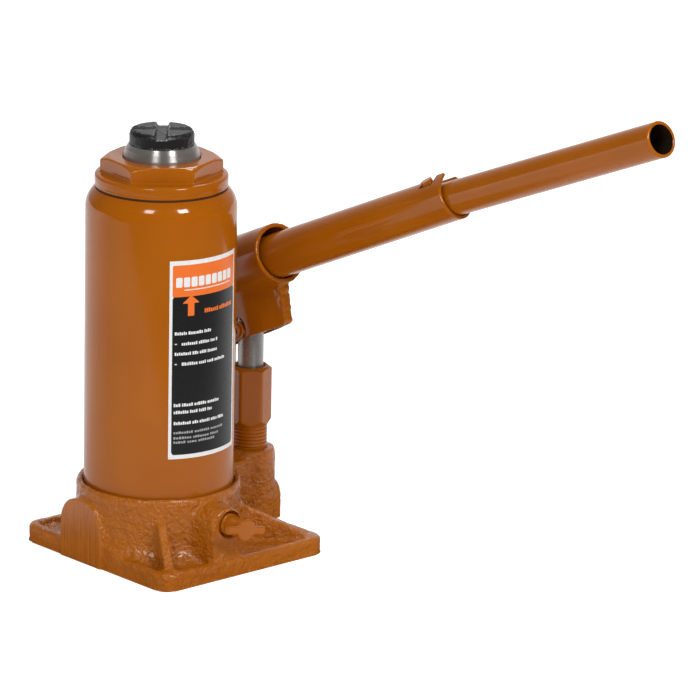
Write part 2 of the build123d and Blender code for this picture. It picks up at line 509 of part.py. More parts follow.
# ---------------------------------------------------------------- release valve
def release_valve():
    face = Plane(origin=(VALVE_X, VALVE_FACE_Y, VALVE_Z), x_dir=(1, 0, 0), z_dir=(0, 1, 0))
    wings = Rot(0, 0, WING_TURN) * (RectangleRounded(WING_SPAN, WING_HEIGHT, 0.6) + Circle(5.6))
    head = extrude(face * wings, amount=WING_THICKNESS)
    head = chamfer(head.faces().sort_by(Axis.Y)[0].edges(), 0.35)
    neck_y = VALVE_FACE_Y + WING_THICKNESS
    head += rod_y(4.8, neck_y - 0.5, VALVE_BOSS_Y + 1.0, VALVE_X, VALVE_Z)
    head += rod_y(VALVE_STEM_R, VALVE_BOSS_Y + 0.6, -43.4, VALVE_X, VALVE_Z)
    head -= rod_y(VALVE_STEM_R + 1, -48.6, -46.2, VALVE_X, VALVE_Z) - rod_y(4.0, -49, -46, VALVE_X, VALVE_Z)
    return head + rod_y(2.6, -43.6, VALVE_SEAT_Y - 5.0, VALVE_X, VALVE_Z)


# ---------------------------------------------------------------- the parts list
def ball(x, y, z, radius=BALL_R):
    return Pos(x, y, z) * Sphere(radius)


seat_rise = sqrt(BALL_R ** 2 - PORT_R ** 2) + 0.03
outlet_ball_top = OUTLET_SEAT + seat_rise + BALL_R
fulcrum_yz = (FULCRUM.Y, FULCRUM.Z)
anchor_yz = (ANCHOR.Y, ANCHOR.Z)
pin_yz = (PLUNGER_PIN.Y, PLUNGER_PIN.Z)

nodes = {
    "base_casting": base_casting(),
    "reservoir": reservoir(),
    "reservoir_bottom_seal": ring(RESERVOIR_R - 0.1, RESERVOIR_R - 2.4, RESERVOIR_FLOOR, RESERVOIR_BOTTOM),
    "reservoir_top_seal": ring(SHOULDER_TOP_R - 0.6, NECK_R + 0.2, RESERVOIR_TOP, NUT_Z0),
    "pressure_cylinder": ring(CYLINDER_R, CYLINDER_BORE, CYLINDER_BOTTOM, CYLINDER_TOP),
    "cylinder_gasket": ring(CYLINDER_R, CYLINDER_BORE + 0.2, CYLINDER_FLOOR, CYLINDER_BOTTOM),
    "top_nut": top_nut(),
    "ram_wiper": ring(WIPER_R - 0.1, RAM_R + 0.06, WIPER_Z0, WIPER_Z1),
    "label": label(),
    "filler_plug": filler_plug(),
    "ram": ram(),
    "ram_piston": ram_piston(),
    "piston_cup": ring(CYLINDER_BORE - 0.05, 15.55, 34, 38.4),
    "piston_backup_ring": ring(CYLINDER_BORE - 0.06, 15.55, 38.4, 40),
    "extension_screw": extension_screw(),
    "screw_stop_ring": ring(STOP_BORE - 0.3, 10.05, STOP_Z0 + 0.1, STOP_Z1 - 0.1),
    "saddle": saddle(),
    "pump_cylinder": pump_cylinder(),
    "pump_washer": ring(PUMP_THREAD_R, PLUNGER_R, PUMP_SEAT_Z, PUMP_BOTTOM, PUMP_X, PUMP_Y),
    "plunger": plunger(),
    "plunger_o_ring": ring(PLUNGER_R + 0.03, 4.25, 38.5, 41.0, PUMP_X, PUMP_Y),
    "plunger_backup_ring": ring(PLUNGER_R + 0.02, 4.25, 41.0, 42.5, PUMP_X, PUMP_Y),
    "plunger_pin": hollow_pin(PLUNGER_PIN_R, CHEEK_OUT + 2.2, *pin_yz),
    "plunger_pin_clips": pin_clips(PLUNGER_PIN_R, CHEEK_OUT + 0.3, *pin_yz),
    "handle_socket": handle_socket(),
    "fulcrum_pin": hollow_pin(PIVOT_PIN_R, CHEEK_OUT + 2.2, *fulcrum_yz),
    "fulcrum_pin_clips": pin_clips(PIVOT_PIN_R, CHEEK_OUT + 0.1, *fulcrum_yz),
    "link_plates": link_plates(),
    "anchor_pin": hollow_pin(PIVOT_PIN_R, LINK_OUT + 2.4, *anchor_yz),
    "anchor_pin_clips": pin_clips(PIVOT_PIN_R, LINK_OUT + 0.3, *anchor_yz),
    "handle_lower_tube": handle_lower_tube(),
    "handle_upper_tube": handle_upper_tube(),
    "handle_peg": handle_peg(),
    "release_valve": release_valve(),
    "release_o_ring": rod_y(VALVE_STEM_R + 0.05, -48.6, -46.2, VALVE_X, VALVE_Z) - rod_y(
        4.05, -49, -46, VALVE_X, VALVE_Z),
    "release_ball": ball(VALVE_X, VALVE_SEAT_Y - seat_rise, VALVE_Z),
    "inlet_ball": ball(PUMP_X, PUMP_Y, INLET_SEAT + seat_rise),
    "outlet_ball": ball(OUTLET_X, PUMP_Y, OUTLET_SEAT + seat_rise),
    "outlet_spring": coil(2.3, 0.35, outlet_ball_top - 0.6, CYLINDER_FLOOR - 0.85, 3, OUTLET_X, PUMP_Y),
    "outlet_retainer": ring(
        BALL_CHAMBER_R - 0.05, 1.5, CYLINDER_FLOOR - 0.8, CYLINDER_FLOOR, OUTLET_X, PUMP_Y),
    "overload_ball": ball(-14, -6, 16.1, 2.0),
    "overload_spring": coil(2.6, 0.5, 7.0, 14.0, 4, -14, -6),
    "overload_screw": ring(3.95, 1.5, 1.5, 6.9, -14, -6),
    "inlet_passage_plug": rod_x(3.15, PUMP_X + 8.5, PUMP_X + 13.8, PUMP_Y, INLET_Z),
    "outlet_passage_plug": rod_x(3.15, PUMP_X + 8.5, PUMP_X + 13.8, PUMP_Y, OUTLET_Z),
}

for name, shape in nodes.items():
    export_step(shape, "parts/" + name + ".step")
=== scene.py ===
import json
import random
from math import cos, pi, radians, sin, sqrt

import bmesh
import bpy
import numpy as np
from mathutils import Matrix, Vector, noise


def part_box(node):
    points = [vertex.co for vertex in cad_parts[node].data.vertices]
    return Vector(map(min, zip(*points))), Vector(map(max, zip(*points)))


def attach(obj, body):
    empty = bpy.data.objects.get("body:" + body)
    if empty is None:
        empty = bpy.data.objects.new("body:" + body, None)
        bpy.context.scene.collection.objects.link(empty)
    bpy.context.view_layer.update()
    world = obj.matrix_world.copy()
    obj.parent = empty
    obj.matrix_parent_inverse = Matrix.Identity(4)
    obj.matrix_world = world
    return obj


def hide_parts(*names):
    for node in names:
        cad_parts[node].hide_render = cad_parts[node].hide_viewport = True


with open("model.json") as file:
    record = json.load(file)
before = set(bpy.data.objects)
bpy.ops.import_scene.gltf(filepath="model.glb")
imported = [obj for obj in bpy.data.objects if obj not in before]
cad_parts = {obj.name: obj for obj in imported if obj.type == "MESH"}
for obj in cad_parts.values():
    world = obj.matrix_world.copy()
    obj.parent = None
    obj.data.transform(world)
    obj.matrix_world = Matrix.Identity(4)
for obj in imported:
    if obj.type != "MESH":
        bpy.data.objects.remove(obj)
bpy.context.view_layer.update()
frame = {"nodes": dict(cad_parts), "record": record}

MM = 0.001
NODES = frame["nodes"]

# where the camera stands: its turn about the upright axis, its height and its small roll
CAMERA_TURN, CAMERA_RISE, CAMERA_ROLL = radians(-41.978), radians(16.151), radians(-1.114)
VIEW_RIGHT = Vector((cos(CAMERA_TURN), sin(CAMERA_TURN), 0))
VIEW_NEAR = Vector((sin(CAMERA_TURN), -cos(CAMERA_TURN), 0))

# the sockets of a colour mix node, whose names repeat for each kind of data
MIX_FACTOR, MIX_FIRST, MIX_SECOND, MIX_RESULT = 0, 6, 7, 2

# a noise texture's values hardly ever leave this range, which has 0.5 in its middle
NOISE_LOW, NOISE_HIGH = 0.3, 0.7


# ---------------------------------------------------------------- shader building
class Nodes:
    """Short calls for the nodes of one material or world."""

    def __init__(self, tree):
        self.tree = tree
        self.tree.nodes.clear()

    def add(self, kind, **properties):
        node = self.tree.nodes.new(kind)
        for key, value in properties.items():
            setattr(node, key, value)
        return node

    def link(self, source, target):
        self.tree.links.new(source, target)

    def put(self, value, socket):
        """Links an output to a socket, or sets the socket to a plain value."""
        if isinstance(value, tuple):
            socket.default_value = (*value, 1.0)
        elif isinstance(value, (int, float)):
            socket.default_value = value
        else:
            self.link(value, socket)

    def stretched(self, place, scale):
        node = self.add("ShaderNodeMapping")
        node.inputs["Scale"].default_value = scale
        self.link(place, node.inputs["Vector"])
        return node.outputs["Vector"]

    def ramp(self, factor, *stops):
        node = self.add("ShaderNodeValToRGB")
        elements = node.color_ramp.elements
        while len(elements) < len(stops):
            elements.new(0.5)
        for element, (position, value) in zip(elements, stops):
            element.position = position
            element.color = (*value, 1.0) if isinstance(value, tuple) else (value, value, value, 1.0)
        self.link(factor, node.inputs["Fac"])
        return node.outputs["Color"]

    def spread(self, texture, low, high):
        """Spreads a noise texture between two values or colours."""
        return self.ramp(texture, (NOISE_LOW, low), (NOISE_HIGH, high))

    def math(self, operation, first, second):
        node = self.add("ShaderNodeMath", operation=operation)
        self.put(first, node.inputs[0])
        self.put(second, node.inputs[1])
        return node.outputs[0]

    def along(self, vector, direction):
        """How far a vector reaches in a direction."""
        node = self.add("ShaderNodeVectorMath", operation="DOT_PRODUCT")
        self.link(vector, node.inputs[0])
        node.inputs[1].default_value = direction
        return node.outputs["Value"]

    def mix(self, factor, first, second):
        node = self.add("ShaderNodeMix", data_type="RGBA")
        self.put(factor, node.inputs[MIX_FACTOR])
        self.put(first, node.inputs[MIX_FIRST])
        self.put(second, node.inputs[MIX_SECOND])
        return node.outputs[MIX_RESULT]


class Shader(Nodes):
    """One material: a Principled surface in the object's own space."""

    def __init__(self, name, **settings):
        self.material = bpy.data.materials.new(name)
        self.material.use_nodes = True
        super().__init__(self.material.node_tree)
        self.bsdf = self.add("ShaderNodeBsdfPrincipled")
        output = self.add("ShaderNodeOutputMaterial")
        self.link(self.bsdf.outputs["BSDF"], output.inputs["Surface"])
        self.place = self.add("ShaderNodeTexCoord").outputs["Object"]
        for socket, value in settings.items():
            self.bsdf.inputs[socket.replace("_", " ")].default_value = value

    def feed(self, socket, source):
        self.link(source, self.bsdf.inputs[socket])

    def noise(self, scale, detail=2.0, roughness=0.5, vector=None):
        node = self.add("ShaderNodeTexNoise")
        node.inputs["Scale"].default_value = scale
        node.inputs["Detail"].default_value = detail
        node.inputs["Roughness"].default_value = roughness
        self.link(vector or self.place, node.inputs["Vector"])
        return node.outputs["Fac"]

    def only_on(self, part, texture):
        """A noise texture centred on 0, and kept only where part is 1."""
        return self.math("MULTIPLY", self.math("SUBTRACT", texture, 0.5), part)

    def bump(self, height, distance, below=None):
        node = self.add("ShaderNodeBump")
        node.inputs["Distance"].default_value = distance
        self.link(height, node.inputs["Height"])
        if below:
            self.link(below, node.inputs["Normal"])
        return node.outputs["Normal"]

    def edges(self, low, high):
        """1 on sharp outside edges, 0 elsewhere."""
        pointiness = self.add("ShaderNodeNewGeometry").outputs["Pointiness"]
        return self.ramp(pointiness, (low, 0.0), (high, 1.0))

    def outside(self, point, direction, radius):
        """1 further than a radius from an axis, 0 nearer to it."""
        offset = self.add("ShaderNodeVectorMath", operation="SUBTRACT")
        self.link(self.place, offset.inputs[0])
        offset.inputs[1].default_value = point
        across = self.add("ShaderNodeVectorMath", operation="CROSS_PRODUCT")
        self.link(offset.outputs["Vector"], across.inputs[0])
        across.inputs[1].default_value = direction
        reach = self.add("ShaderNodeVectorMath", operation="LENGTH")
        self.link(across.outputs["Vector"], reach.inputs[0])
        return self.math("GREATER_THAN", reach.outputs["Value"], radius)


# the enamel on smooth parts; a lighter copy of it on the casting, which is painted light; a paler colour for
# the casting's sharp edges; and a near-black painted shade inside a bore
PAINT_DEEP = (0.345, 0.088, 0.0015)
PAINT_LIGHT = (0.385, 0.104, 0.003)
# painted light: the casting's enamel is lighter than the same enamel on smooth parts
LIT_CAST_DEEP = (0.375, 0.098, 0.002)
LIT_CAST_PALE = (0.44, 0.122, 0.005)
EDGE_PALE = (0.50, 0.19, 0.035)
BORE_SHADE = (0.022, 0.013, 0.007)

# how deep the orange peel is, in metres, and the least and greatest roughness of each sprayed part
BODY_PEEL, BODY_ROUGH = 0.000008, (0.08, 0.14)
LEVER_PEEL, LEVER_ROUGH = 0.000014, (0.11, 0.18)
PUMP_PEEL, PUMP_ROUGH = 0.00006, (0.12, 0.20)

# where the base's side boss turns from raw to milled, on the -X side, in hundreds of millimetres
MILLED_FROM, MILLED_TO = 0.412, 0.426

STEEL, STEEL_ROUGH = (0.52, 0.495, 0.465), (0.25, 0.37)
BLACK_OXIDE, BARE_IRON = (0.013, 0.013, 0.014), (0.42, 0.41, 0.40)
WHITE_PRINT = (0.80, 0.80, 0.79)


def darker(colour, share):
    return tuple(share * c for c in colour)


def gloss_paint(name, peel=BODY_PEEL, rough=BODY_ROUGH, bore=None):
    """Smooth sprayed enamel with a faint orange peel. Inside a bore, if one is given, it is painted
    near-black as shade.
    """
    look = Shader(name, IOR=1.5)
    colour = look.spread(look.noise(22, 3), PAINT_DEEP, PAINT_LIGHT)
    if bore:
        # painted shade: a near-black colour inside the bore stands in for the shade there
        colour = look.mix(look.outside(*bore), BORE_SHADE, colour)
    look.feed("Base Color", colour)
    look.feed("Roughness", look.spread(look.noise(60, 3), *rough))
    look.feed("Normal", look.bump(look.noise(420, 2), peel))
    return look.material


def cast_paint(name):
    """The same enamel over a sand casting, painted lighter here as light on the base: grainy and lumpy, but
    for a boss scored by a milling cutter.
    """
    look = Shader(name, IOR=1.5, Coat_Weight=0.35, Coat_Roughness=0.08)
    across = look.along(look.place, (-1000.0, 0, 0))
    milled = look.ramp(look.math("DIVIDE", across, 100.0), (MILLED_FROM, 0.0), (MILLED_TO, 1.0))
    raw = look.math("SUBTRACT", 1.0, milled)
    grain = look.only_on(raw, look.noise(620, 3, 0.55))
    lumps = look.only_on(raw, look.noise(250, 2, 0.5))
    cutter = look.only_on(milled, look.noise(1.0, 2, 0.6, look.stretched(look.place, (20, 900, 12))))
    # painted light: the casting's tone is lighter than the bottle's enamel
    colour = look.spread(look.noise(45, 4), LIT_CAST_DEEP, LIT_CAST_PALE)
    # a paler colour on the casting's sharp edges
    look.feed("Base Color", look.mix(look.edges(0.53, 0.62), colour, EDGE_PALE))
    look.feed("Roughness", look.spread(look.noise(260, 3, 0.55), 0.12, 0.24))
    look.feed("Normal", look.bump(grain, 0.0012, look.bump(lumps, 0.0018, look.bump(cutter, 0.0011))))
    return look.material


def turned_steel(name):
    """Steel with lathe marks round its upright axis, which draw each reflection out into a tall streak."""
    look = Shader(name, Metallic=0.75, Anisotropic=0.9, Anisotropic_Rotation=0.25)
    marks = look.noise(1.0, 3, 0.6, look.stretched(look.place, (12, 12, 3300)))
    smears = look.noise(70, 4, 0.6)
    look.feed("Base Color", look.mix(smears, darker(STEEL, 0.72), STEEL))
    look.feed("Roughness", look.spread(marks, *STEEL_ROUGH))
    look.feed("Normal", look.bump(marks, 0.00002))
    return look.material


def black_iron(name):
    """Black-oxided casting with bare scratches on its edges."""
    look = Shader(name, IOR=1.5)
    grain = look.noise(700, 4, 0.6)
    scratches = look.ramp(look.noise(900, 3, 0.6), (0.50, 0.0), (0.58, 1.0))
    worn = look.math("MULTIPLY", look.edges(0.51, 0.54), scratches)
    look.feed("Base Color", look.mix(worn, BLACK_OXIDE, BARE_IRON))
    look.feed("Roughness", look.spread(grain, 0.30, 0.52))
    look.feed("Normal", look.bump(grain, 0.00014))
    return look.material


def plain(name, colour, rough, metallic=0.0, grain=0.00003):
    """A fine-grained stock material: rubber, nylon, copper, bearing steel or printed film."""
    look = Shader(name, Metallic=metallic)
    speck = look.noise(600, 3, 0.6)
    look.feed("Base Color", look.mix(speck, darker(colour, 0.88), colour))
    look.feed("Roughness", look.spread(speck, rough * 0.85, rough * 1.15))
    look.feed("Normal", look.bump(speck, grain))
    return look.material


# ---------------------------------------------------------------- mesh helpers
def new_object(name, mesh):
    piece = bpy.data.objects.new(name, mesh)
    bpy.context.scene.collection.objects.link(piece)
    return piece


def apply_modifiers(piece):
    """Replaces a piece's mesh with the result of its modifiers."""
    view = bpy.context.evaluated_depsgraph_get()
    mesh = bpy.data.meshes.new_from_object(piece.evaluated_get(view))
    piece.modifiers.clear()
    piece.data = mesh


def vertex_array(mesh, key="co"):
    values = np.empty(len(mesh.vertices) * 3)
    mesh.vertices.foreach_get(key, values)
    return values.reshape(-1, 3)


def shade_smooth(mesh):
    mesh.polygons.foreach_set("use_smooth", [True] * len(mesh.polygons))
    mesh.update()


def remeshed_copy(node, name, soft, voxel, rounds):
    """An evenly meshed copy of a CAD node, its corners worn round where soft() says so."""
    piece = new_object(name, NODES[node].data.copy())
    piece.data.materials.clear()
    remesh = piece.modifiers.new("even", "REMESH")
    remesh.mode = "VOXEL"
    remesh.voxel_size = voxel * MM
    apply_modifiers(piece)
    weights = soft(vertex_array(piece.data) / MM)
    group = piece.vertex_groups.new(name="soft")
    for index, weight in enumerate(weights):
        group.add([index], float(weight), "REPLACE")
    smooth = piece.modifiers.new("worn", "SMOOTH")
    smooth.factor = 0.5
    smooth.iterations = rounds
    smooth.vertex_group = "soft"
    apply_modifiers(piece)
    shade_smooth(piece.data)
    return piece, weights


def settle(piece, places, node, body, material):
    """Writes a piece's points back inside its CAD node's box, and puts it in that node's place."""
    low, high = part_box(node)
    piece.data.vertices.foreach_set("co", np.clip(places, low, high).ravel())
    piece.data.update()
    piece.data.materials.append(material)
    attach(piece, body)
    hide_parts(node)


def lump_at(place, size):
    """An uneven swelling of about -1 to 1 at a point, from lumps of a size in millimetres."""
    smoothness, finer, layers = 1.0, 2.0, 2
    return noise.fractal(Vector(place) / (size * MM), smoothness, finer, layers)


def swell_at(place, size, shift=(0.0, 0.0, 0.0)):
    """A smooth swelling of about -1 to 1 at a point, from waves of a size in millimetres."""
    return noise.noise(Vector(place) / (size * MM) + Vector(shift))


def everywhere(p):
    return np.ones(len(p))


def softened(node, name, body, material, voxel, rounds, lumps):
    """A CAD node with the round, slightly uneven edges that paint or a casting gives it."""
    piece, weights = remeshed_copy(node, name, everywhere, voxel, rounds)
    places = vertex_array(piece.data)
    normals = vertex_array(piece.data, "normal")
    for i, place in enumerate(places):
        places[i] += normals[i] * weights[i] * MM * lumps * lump_at(place, 2.2)
    settle(piece, places, node, body, material)


# ---------------------------------------------------------------- base casting
# the machined places, in millimetres: the side boss's face and the underside, each with its depth, then
# the seats of the bottle, the pump and the release valve, each with its radius and where it starts
SIDE_FACE_X, SIDE_DEPTH, UNDERSIDE_DEPTH = -42.8, 0.5, 0.5
BOTTLE_SEAT_RADIUS, BOTTLE_SEAT_Z = 38.2, 12.0
PUMP_X, PUMP_Y, PUMP_SEAT_RADIUS, PUMP_SEAT_Z = 67.0, 9.0, 10.0, 15.0
VALVE_X, VALVE_Z, VALVE_SEAT_RADIUS, VALVE_SEAT_Y = 1.8, 26.2, 7.2, -20.0

# how far the raw skin is drawn in on average, and where and how deeply its foot sags, in millimetres
SKIN_IN, SKIRT_TOP, SKIRT_BOTTOM, SKIRT_SAG = 0.22, 8.0, 2.0, 0.8


def base_is_cast(p):
    """How raw each point of the base is: 0 on machined faces, 1 on the casting's skin."""
    x, y, z = p.T
    bottle = np.hypot(x, y)
    pump = np.hypot(x - PUMP_X, y - PUMP_Y)
    valve = np.hypot(x - VALVE_X, z - VALVE_Z)
    weights = np.clip((x - SIDE_FACE_X) / SIDE_DEPTH, 0.0, 1.0)
    weights[z < UNDERSIDE_DEPTH] = 0.0
    weights[(bottle < BOTTLE_SEAT_RADIUS) & (z > BOTTLE_SEAT_Z)] = 0.0
    weights[(pump < PUMP_SEAT_RADIUS) & (z > PUMP_SEAT_Z)] = 0.0
    weights[(valve < VALVE_SEAT_RADIUS) & (y < VALVE_SEAT_Y)] = 0.0
    return weights


def cast_base(material):
    """The base casting with worn corners, a lumpy skin and a foot that sags in here and there."""
    piece, weights = remeshed_copy("base_casting", "cast_base", base_is_cast, voxel=0.76, rounds=20)
    places = vertex_array(piece.data)
    normals = vertex_array(piece.data, "normal")
    skirt = np.clip((SKIRT_TOP * MM - places[:, 2]) / ((SKIRT_TOP - SKIRT_BOTTOM) * MM), 0.0, 1.0)
    for i, place in enumerate(places):
        lump = 0.26 * lump_at(place, 6.0)
        grain = 0.17 * swell_at(place, 1.7)
        sag = SKIRT_SAG * skirt[i] * max(0.0, swell_at(place, 11.0, (3.0, 7.0, 0.0)))
        places[i] += normals[i] * weights[i] * MM * (lump + grain - SKIN_IN - sag)
    settle(piece, places, "base_casting", "base", material)


# ---------------------------------------------------------------- handle socket
SOCKET_RISE = radians(23.9)
SOCKET_MOUTH = Vector((67.0, -12.2, 144.6))
SOCKET_FORWARD = Vector((0, -cos(SOCKET_RISE), sin(SOCKET_RISE)))
SOCKET_DOWN = Vector((0, -sin(SOCKET_RISE), -cos(SOCKET_RISE)))
SOCKET_BORE = 13.4

# in millimetres down from the bore's axis and back from the mouth: the smooth gap between the cheeks,
# the front flange, and the weld bead, which slopes down as it runs back
GAP_DROP, GAP_HALF_WIDTH, GAP_BACK = 15.0, 7.0, 8.0
FLANGE_DROP, FLANGE_BACK, FLANGE_FADE = 14.0, 6.0, 3.0
BEAD_DROP, BEAD_SLOPE, BEAD_WIDTH = 17.5, 0.12, 2.2
BEAD_BACK, BEAD_LENGTH = 10.0, 9.0


def socket_frame(p):
    """Each point as distances back from the mouth, down from the bore's axis, and out towards +X."""
    offset = p - np.array(SOCKET_MOUTH)
    return -offset @ np.array(SOCKET_FORWARD), offset @ np.array(SOCKET_DOWN), offset[:, 0]


def socket_is_forged(p):
    """How worn each point of the socket is: 0 in its bore and between its cheeks, 0.5 elsewhere."""
    back, drop, out = socket_frame(p)
    weights = np.full(len(p), 0.5)
    weights[np.hypot(drop, out) < SOCKET_BORE] = 0.0
    weights[(drop > GAP_DROP) & (np.abs(out) < GAP_HALF_WIDTH) & (back > GAP_BACK)] = 0.0
    return weights


def welded_socket(material):
    """The socket with a lumpy front flange and weld beads under the mouth."""
    piece, weights = remeshed_copy("handle_socket", "welded_socket", socket_is_forged, voxel=0.6, rounds=4)
    places = vertex_array(piece.data)
    normals = vertex_array(piece.data, "normal")
    back, drop, out = socket_frame(places / MM)
    flange = np.exp(-(np.maximum(back - FLANGE_BACK, 0) / FLANGE_FADE) ** 2) * (drop > FLANGE_DROP)
    off_line = (drop - BEAD_DROP - BEAD_SLOPE * back) / BEAD_WIDTH
    bead = np.exp(-off_line ** 2 - ((back - BEAD_BACK) / BEAD_LENGTH) ** 2)
    for i, place in enumerate(places):
        lump = lump_at(place, 2.6)
        swell = 0.10 * swell_at(place, 9.0)
        height = flange[i] * 0.42 * lump + bead[i] * (0.35 + 0.75 * lump) + swell
        places[i] += normals[i] * (weights[i] > 0) * MM * height
    settle(piece, places, "handle_socket", "socket", material)


# ---------------------------------------------------------------- label
# the label's own units: degrees round the bottle from its front, millimetres up and from its axis
FILM_RADIUS = 37.28
PANEL_RADIUS, INK_RADIUS = FILM_RADIUS + 0.13, FILM_RADIUS + 0.16
BAND_RADIUS, INK_THICK = INK_RADIUS + 0.005, 0.02
SHEET_EDGE, PANEL_EDGE = 33.2, 30.9
COLUMN_STEP, CORNER_STEPS = 2.0, 4
LABEL_GRAIN = 0.00001
PRINT_LEFT, BULLET_LEFT, BULLET_RIGHT = -29.2, -28.9, -27.2

# the height, left end and right end of each line of white print, and which lines have a bullet
PRINT_LINES = ((122.3, -29, 2.3), (117, -23.6, 8.5), (112, -28.9, 7.8), (106.8, -23.4, 17.2),
               (86, -29.2, 11.8), (82.4, -29.2, 4.3), (76.8, -29.1, 18.3))
BULLET_LINES = (117, 106.8)


def label_patch(build, start, end, low, high, inner, outer, corner=0.0, point=0.0):
    """A closed curved patch between two angles from the front, with round corners or an arrow's point."""
    steps = max(6, int((end - start) / COLUMN_STEP))
    angles = [start + (end - start) * k / steps for k in range(steps + 1)]
    reach = corner / outer * 180 / pi
    for k in range(1, CORNER_STEPS):
        angles += [start + reach * k / CORNER_STEPS, end - reach * k / CORNER_STEPS]
    columns = []
    for angle in sorted(angles):
        gap = min(angle - start, end - angle) * pi / 180 * outer
        inset = corner - sqrt(max(0.0, corner ** 2 - max(0.0, corner - gap) ** 2))
        top = high - point * abs(2 * (angle - start) / (end - start) - 1)
        turn = radians(angle)
        rim = []
        bottom = low + inset
        for radius, z in ((inner, bottom), (outer, bottom), (outer, top - inset), (inner, top - inset)):
            rim.append(build.verts.new((radius * sin(turn) * MM, -radius * cos(turn) * MM, z * MM)))
        columns.append(rim)
    for left, right in zip(columns, columns[1:]):
        for k in range(4):
            after = (k + 1) % 4
            build.faces.new((left[k], right[k], right[after], left[after]))
    build.faces.new(columns[0][::-1])
    build.faces.new(columns[-1])


def label_layer(name, patches, material):
    """One printed layer of the label, made of patches that share an ink."""
    build = bmesh.new()
    for patch in patches:
        label_patch(build, *patch)
    bmesh.ops.remove_doubles(build, verts=build.verts, dist=0.0000001)
    bmesh.ops.recalc_face_normals(build, faces=build.faces)
    mesh = bpy.data.meshes.new(name)
    build.to_mesh(mesh)
    build.free()
    mesh.materials.append(material)
    piece = new_object(name, mesh)
    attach(piece, "base")
    return piece


def mark(start, end, low, high, raised=INK_RADIUS, corner=0.0, point=0.0):
    """A patch of ink."""
    return start, end, low, high, raised, raised + INK_THICK, corner, point


def print_bars(start, end, z, height, letter=1.0):
    """A line of plain blocks in word-like groups, standing in for small print."""
    shortest, longest, letter_gap, word_gap = 1.1, 1.9, 0.5, 1.6
    bars = []
    at, left = start, random.randint(3, 8)
    while at < end - letter:
        stop = min(end, at + letter * random.uniform(shortest, longest))
        low = z - height / 2
        high = low + height * random.choice((0.8, 1.0))
        bars.append(mark(at, stop, low, high, corner=0.08 * height))
        left -= 1
        at = stop + letter * (letter_gap if left else word_gap)
        left = left or random.randint(3, 8)
    return bars


def wordmark(start, end, low, high):
    """Even blocks on the label's band in place of a name."""
    count, gap = 9, 1.1
    pitch = (end - start + gap) / count
    return [mark(start + k * pitch, start + (k + 1) * pitch - gap, low, high, BAND_RADIUS, 0.6)
            for k in range(count)]


def printed_label():
    """The label as six layers: the film, its dark panel and orange band, and the marks on them."""
    random.seed(11)
    white = plain("label_film", WHITE_PRINT, 0.30, grain=LABEL_GRAIN)
    dark = plain("label_black", (0.012, 0.012, 0.013), 0.32, grain=LABEL_GRAIN)
    orange = plain("label_orange", (0.86, 0.165, 0.014), 0.32, grain=LABEL_GRAIN)
    grey = plain("label_grey", (0.36, 0.36, 0.36), 0.40, grain=LABEL_GRAIN)
    sheet = (-SHEET_EDGE, SHEET_EDGE, 58.6, 158.8, FILM_RADIUS, PANEL_RADIUS)
    panel = (-PANEL_EDGE, PANEL_EDGE, 60.7, 141.0, PANEL_RADIUS, INK_RADIUS, 1.6)
    band = (-PANEL_EDGE, PANEL_EDGE, 140.7, 156.6, PANEL_RADIUS, BAND_RADIUS, 0.8)
    film = label_layer("label_film", [sheet], white)
    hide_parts("label")
    label_layer("label_panel", [panel], dark)
    label_layer("label_band", [band], orange)
    marks = wordmark(-28.4, 24.8, 145.5, 150.4)
    marks.append(mark(-21.9, 24.4, 143.8, 144.3, BAND_RADIUS, 0.2))
    for z, start, end in PRINT_LINES:
        marks += print_bars(start, end, z, 1.6, 0.85)
    for z in BULLET_LINES:
        marks.append(mark(BULLET_LEFT, BULLET_RIGHT, z - 0.25, z + 0.25, corner=0.1))
    label_layer("label_white_marks", marks, white)
    arrow_head = mark(-22.8, -10.0, 137.2, 141.2, point=3.6)
    arrow_shaft = mark(-19.0, -13.8, 130.9, 138.0)
    words = print_bars(-4.9, 27.6, 132.6, 2.2)
    label_layer("label_orange_marks", [arrow_head, arrow_shaft] + words, orange)
    small = []
    for z, end in ((72, 17.9), (69.3, 11.5), (67.1, 7.5)):
        small += print_bars(PRINT_LEFT, end, z, 1.2)
    label_layer("label_grey_marks", small, grey)


# ---------------------------------------------------------------- finishes on the carried nodes
# the upper tube's slope, and a radius between its bore and its outside, in millimetres
UPPER_RISE, UPPER_BORE = radians(22.3), 7.1
UPPER_FORWARD = Vector((0, -cos(UPPER_RISE), sin(UPPER_RISE)))


def paint_nodes():
    """Gives each CAD node the finish of its slot, and returns the finishes by slot."""
    by_slot = {
        "cast_paint": cast_paint("cast_paint"),
        "gloss_paint": gloss_paint("gloss_paint"),
        "lever_paint": gloss_paint("lever_paint", LEVER_PEEL, LEVER_ROUGH),
        "machined_steel": turned_steel("turned_steel"),
        "black_iron": black_iron("black_iron"),
        "seal_rubber": plain("seal_rubber", (0.060, 0.022, 0.005), 0.60),
        "nylon": plain("nylon", (0.70, 0.66, 0.55), 0.45),
        "copper": plain("copper", (0.72, 0.36, 0.22), 0.30, 1.0),
        "bright_steel": plain("bright_steel", (0.66, 0.66, 0.67), 0.16, 1.0),
        "label_print": plain("label_backing", WHITE_PRINT, 0.35),
    }
    for entry in frame["record"]["subparts"]:
        mesh = NODES[entry["node"]].data
        mesh.materials.clear()
        mesh.materials.append(by_slot[entry["material_slot"]])
    low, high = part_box("handle_upper_tube")
    # painted shade inside the upper tube's bore
    bore = ((Vector(low) + Vector(high)) / 2, UPPER_FORWARD, UPPER_BORE * MM)
    tube_paint = gloss_paint("tube_paint", LEVER_PEEL, LEVER_ROUGH, bore)
    NODES["handle_upper_tube"].data.materials[0] = tube_paint
    NODES["pump_cylinder"].data.materials[0] = gloss_paint("pump_paint", PUMP_PEEL, PUMP_ROUGH)
    return by_slot


# ---------------------------------------------------------------- camera, light and floor
LAMP_AIM, LAMP_DISTANCE = Vector((0.04, -0.02, 0.12)), 2.2

